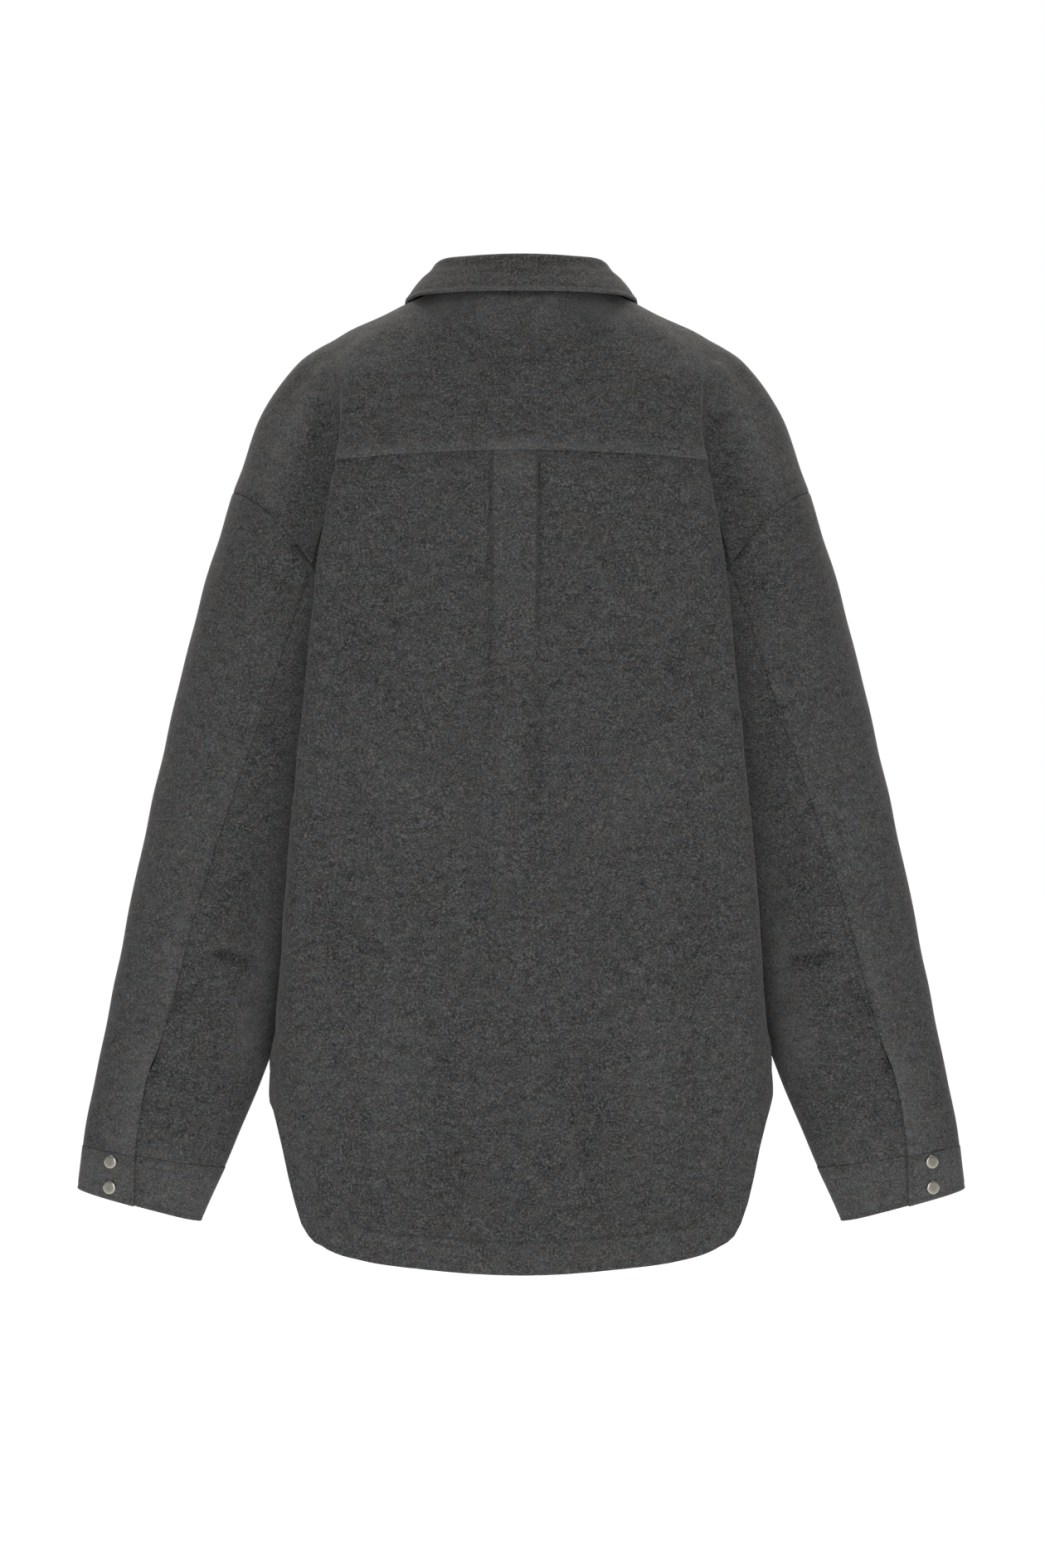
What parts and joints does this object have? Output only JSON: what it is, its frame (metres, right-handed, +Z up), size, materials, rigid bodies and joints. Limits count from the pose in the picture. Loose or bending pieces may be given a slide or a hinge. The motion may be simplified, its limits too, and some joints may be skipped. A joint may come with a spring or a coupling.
{
  "type": "overshirt",
  "caption": "Loose long-sleeved overshirt in brushed charcoal flannel: turned-down collar, yoke over a box pleat, dropped shoulders, snap-closed front and cuffs, curved shirt-tail hem.",
  "frame": {"origin": "on the centre line at the base of the neck, level with the ends of the collar on the shoulders", "axes": "+Z up the wearer's back, +Y out of the back, +X to the wearer's left"},
  "size_m": [0.6962, 0.2447, 0.786],
  "materials": {
    "flannel": "brushed charcoal melange with a short soft nap, no sheen",
    "snap_metal": "satin nickel, slightly domed and bare"
  },
  "bodies": {
    "root": {"yoke": "flannel", "back": "flannel", "front_left": "flannel", "front_right": "flannel", "sleeve_upper_left": "flannel", "sleeve_upper_right": "flannel", "sleeve_under_left": "flannel", "sleeve_under_right": "flannel", "cuff_left": "flannel", "cuff_right": "flannel", "collar_stand": "flannel", "collar_fall": "flannel", "cuff_snap_left_1": "snap_metal", "cuff_snap_left_2": "snap_metal", "cuff_snap_right_1": "snap_metal", "cuff_snap_right_2": "snap_metal", "front_snap_1": "snap_metal", "front_snap_2": "snap_metal", "front_snap_3": "snap_metal", "front_snap_4": "snap_metal", "front_snap_5": "snap_metal", "front_snap_6": "snap_metal", "front_snap_7": "snap_metal"}
  },
  "joints": []
}
